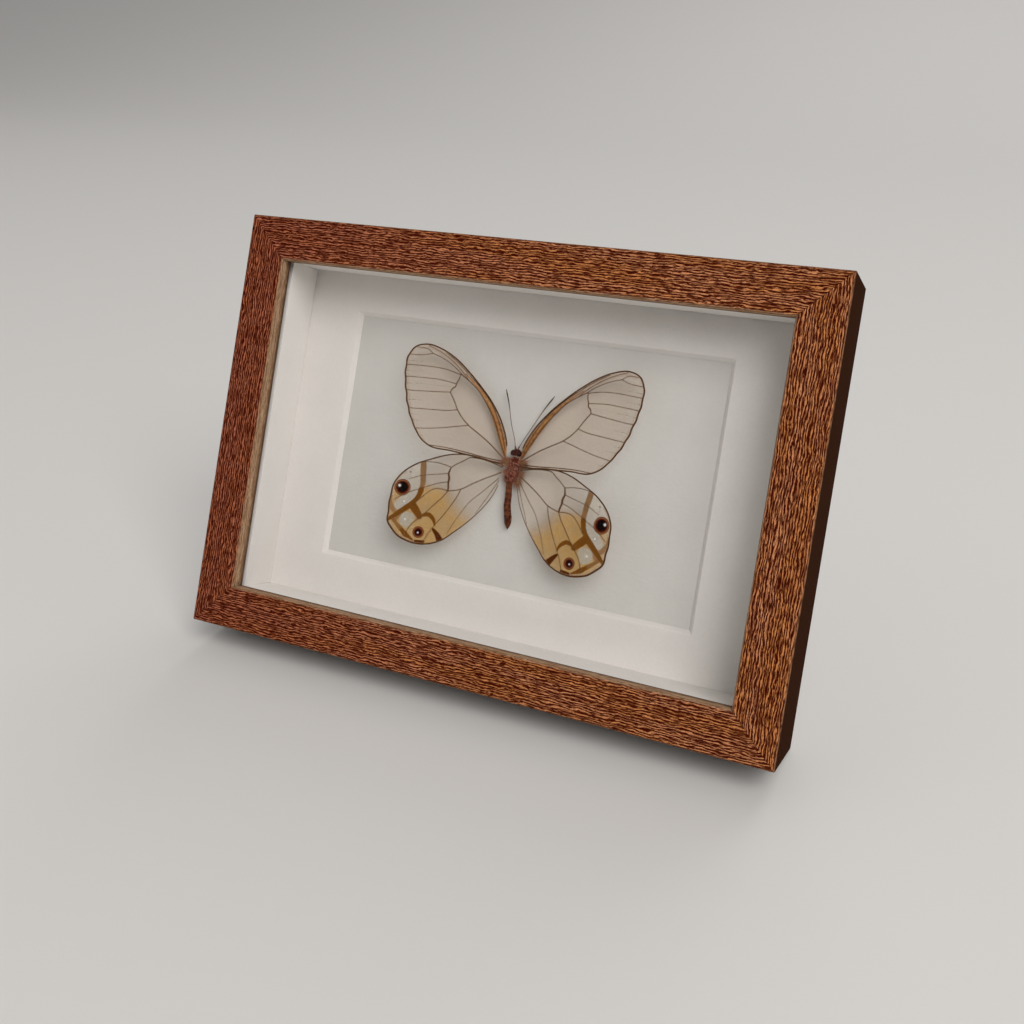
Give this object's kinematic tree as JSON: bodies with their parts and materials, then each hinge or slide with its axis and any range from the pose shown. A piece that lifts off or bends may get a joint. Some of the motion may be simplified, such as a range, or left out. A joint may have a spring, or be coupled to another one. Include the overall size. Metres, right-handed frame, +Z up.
{
  "type": "framed butterfly specimen",
  "caption": "Clearwing butterfly with open wings, mounted on a white card behind glass in a deep mitred box frame that leans back on a hinged easel strut.",
  "frame": {"origin": "middle of the standing part's footprint, on the surface that it stands on", "axes": "+X along the frame's long side, +Z up, the glass faces -Y and leans back by 20 degrees"},
  "size_m": [0.17, 0.0832, 0.1218],
  "materials": {
    "rail_foil": "red-brown wood-effect foil with an embossed light grain",
    "glass": "clear, polished",
    "spacer_card": "matt white",
    "mat_board": "matt white with a white bevelled core",
    "specimen_card": "matt white, lightly textured",
    "back_board": "brown hardboard",
    "steel": "zinc-plated sheet",
    "strut_board": "dark hardboard",
    "body_hair": "dark brown, covered with reddish hair",
    "forewing_membrane": "see-through greyish membrane with brown veins",
    "hindwing_membrane": "see-through ochre membrane with brown bands and eyespots",
    "antenna_chitin": "brown, satin"
  },
  "bodies": {
    "frame": {"rail_top": "rail_foil", "rail_bottom": "rail_foil", "rail_left": "rail_foil", "rail_right": "rail_foil", "glass_pane": "glass", "spacer_top": "spacer_card", "spacer_bottom": "spacer_card", "spacer_left": "spacer_card", "spacer_right": "spacer_card", "mat": "mat_board", "specimen_board": "specimen_card", "back_panel": "back_board", "tab_top_left": "steel", "tab_top_right": "steel", "tab_bottom_left": "steel", "tab_bottom_right": "steel", "tab_side_left": "steel", "tab_side_right": "steel", "hinge_leaf_fixed": "steel", "hinge_pin": "steel", "rivet_fixed_left": "steel", "rivet_fixed_right": "steel", "butterfly_body": "body_hair", "forewing_left": "forewing_membrane", "forewing_right": "forewing_membrane", "hindwing_left": "hindwing_membrane", "hindwing_right": "hindwing_membrane", "antenna_left": "antenna_chitin", "antenna_right": "antenna_chitin"},
    "strut": {"strut_leg": "strut_board", "hinge_leaf_moving": "steel", "rivet_strut_left": "steel", "rivet_strut_right": "steel"}
  },
  "joints": [
    {"name": "strut_hinge", "type": "hinge", "parent": "frame", "child": "strut", "pos_m": [0, 0.01516, 0.08215], "axis": [-1, 0, 0], "range_deg": [0, 37.4]}
  ]
}
